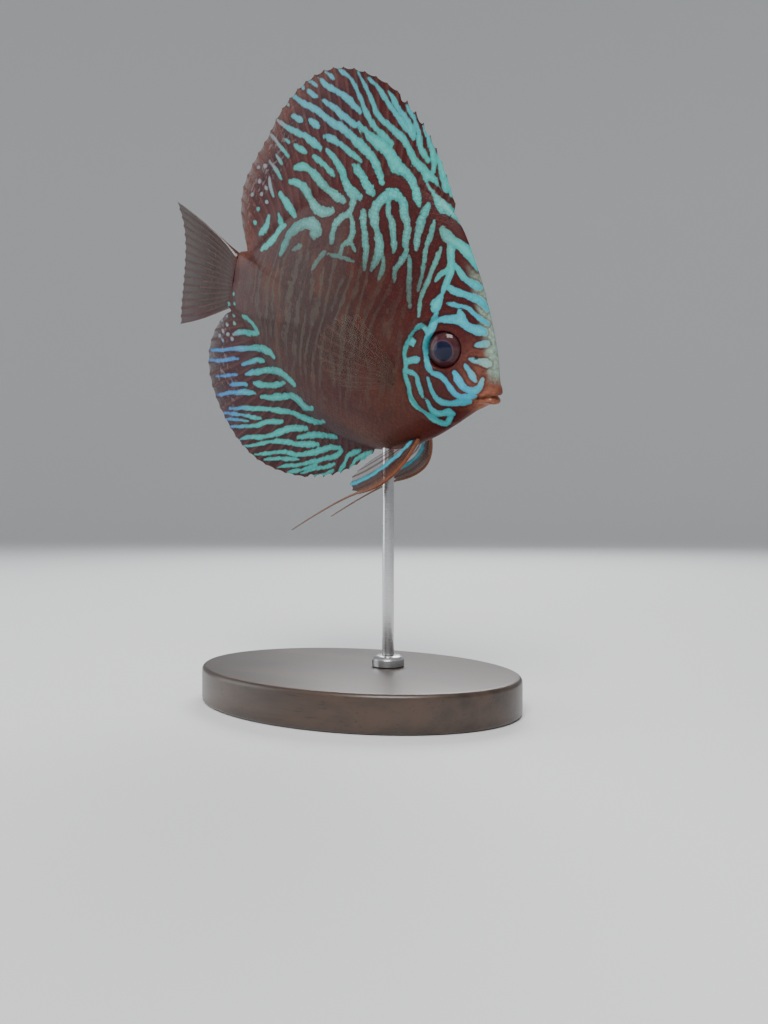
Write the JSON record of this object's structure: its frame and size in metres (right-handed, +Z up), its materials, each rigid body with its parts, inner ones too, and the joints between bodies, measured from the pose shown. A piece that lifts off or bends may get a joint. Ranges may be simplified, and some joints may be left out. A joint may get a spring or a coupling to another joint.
{
  "type": "discus fish",
  "caption": "Life-size discus fish, a round flat-sided freshwater fish with tall fins, posed nose down on a rod above an oval display base.",
  "frame": {"origin": "centre of the stand base's underside", "axes": "+Z up, +X the way the fish faces, +Y towards the fish's left side"},
  "size_m": [0.1482, 0.084, 0.2061],
  "materials": {
    "skin": "satin, red-brown with turquoise stripes",
    "fin": "satin, red-brown with turquoise streaks along the rays",
    "clear_fin": "thin and see-through between fine rays",
    "eye": "clear gloss over a dark red iris and black pupil",
    "base": "dark satin",
    "metal": "fine brushed steel"
  },
  "bodies": {
    "root": {"head": "skin", "lower_jaw": "skin", "torso": "skin", "tail_base": "skin", "gill_cover_left": "skin", "gill_cover_right": "skin", "eye_left": "eye", "eye_right": "eye", "dorsal_fin": "fin", "anal_fin": "fin", "tail_fin": "clear_fin", "pectoral_fin_left": "clear_fin", "pectoral_fin_right": "clear_fin", "pelvic_fin_left": "fin", "pelvic_fin_right": "fin", "stand_base": "base", "stand_rod": "metal", "stand_collar": "metal"}
  },
  "joints": []
}
